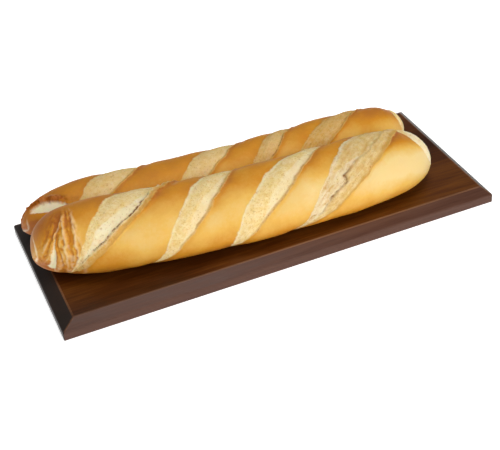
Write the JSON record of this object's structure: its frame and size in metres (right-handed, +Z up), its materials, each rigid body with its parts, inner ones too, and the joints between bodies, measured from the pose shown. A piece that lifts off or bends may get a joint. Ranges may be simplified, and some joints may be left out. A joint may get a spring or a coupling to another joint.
{
  "type": "baguette",
  "caption": "Crusty slashed baguettes lying side by side on a chamfered dark wooden serving board.",
  "frame": {"origin": "centre of the board's flat underside", "axes": "+X along the board's long side, +Y from the front loaf to the back loaf, +Z up out of the board"},
  "size_m": [0.5, 0.208, 0.0899],
  "materials": {
    "walnut": "satin",
    "crust": "matte"
  },
  "bodies": {
    "root": {"board": "walnut", "loaf_front": "crust", "loaf_back": "crust"}
  },
  "joints": []
}
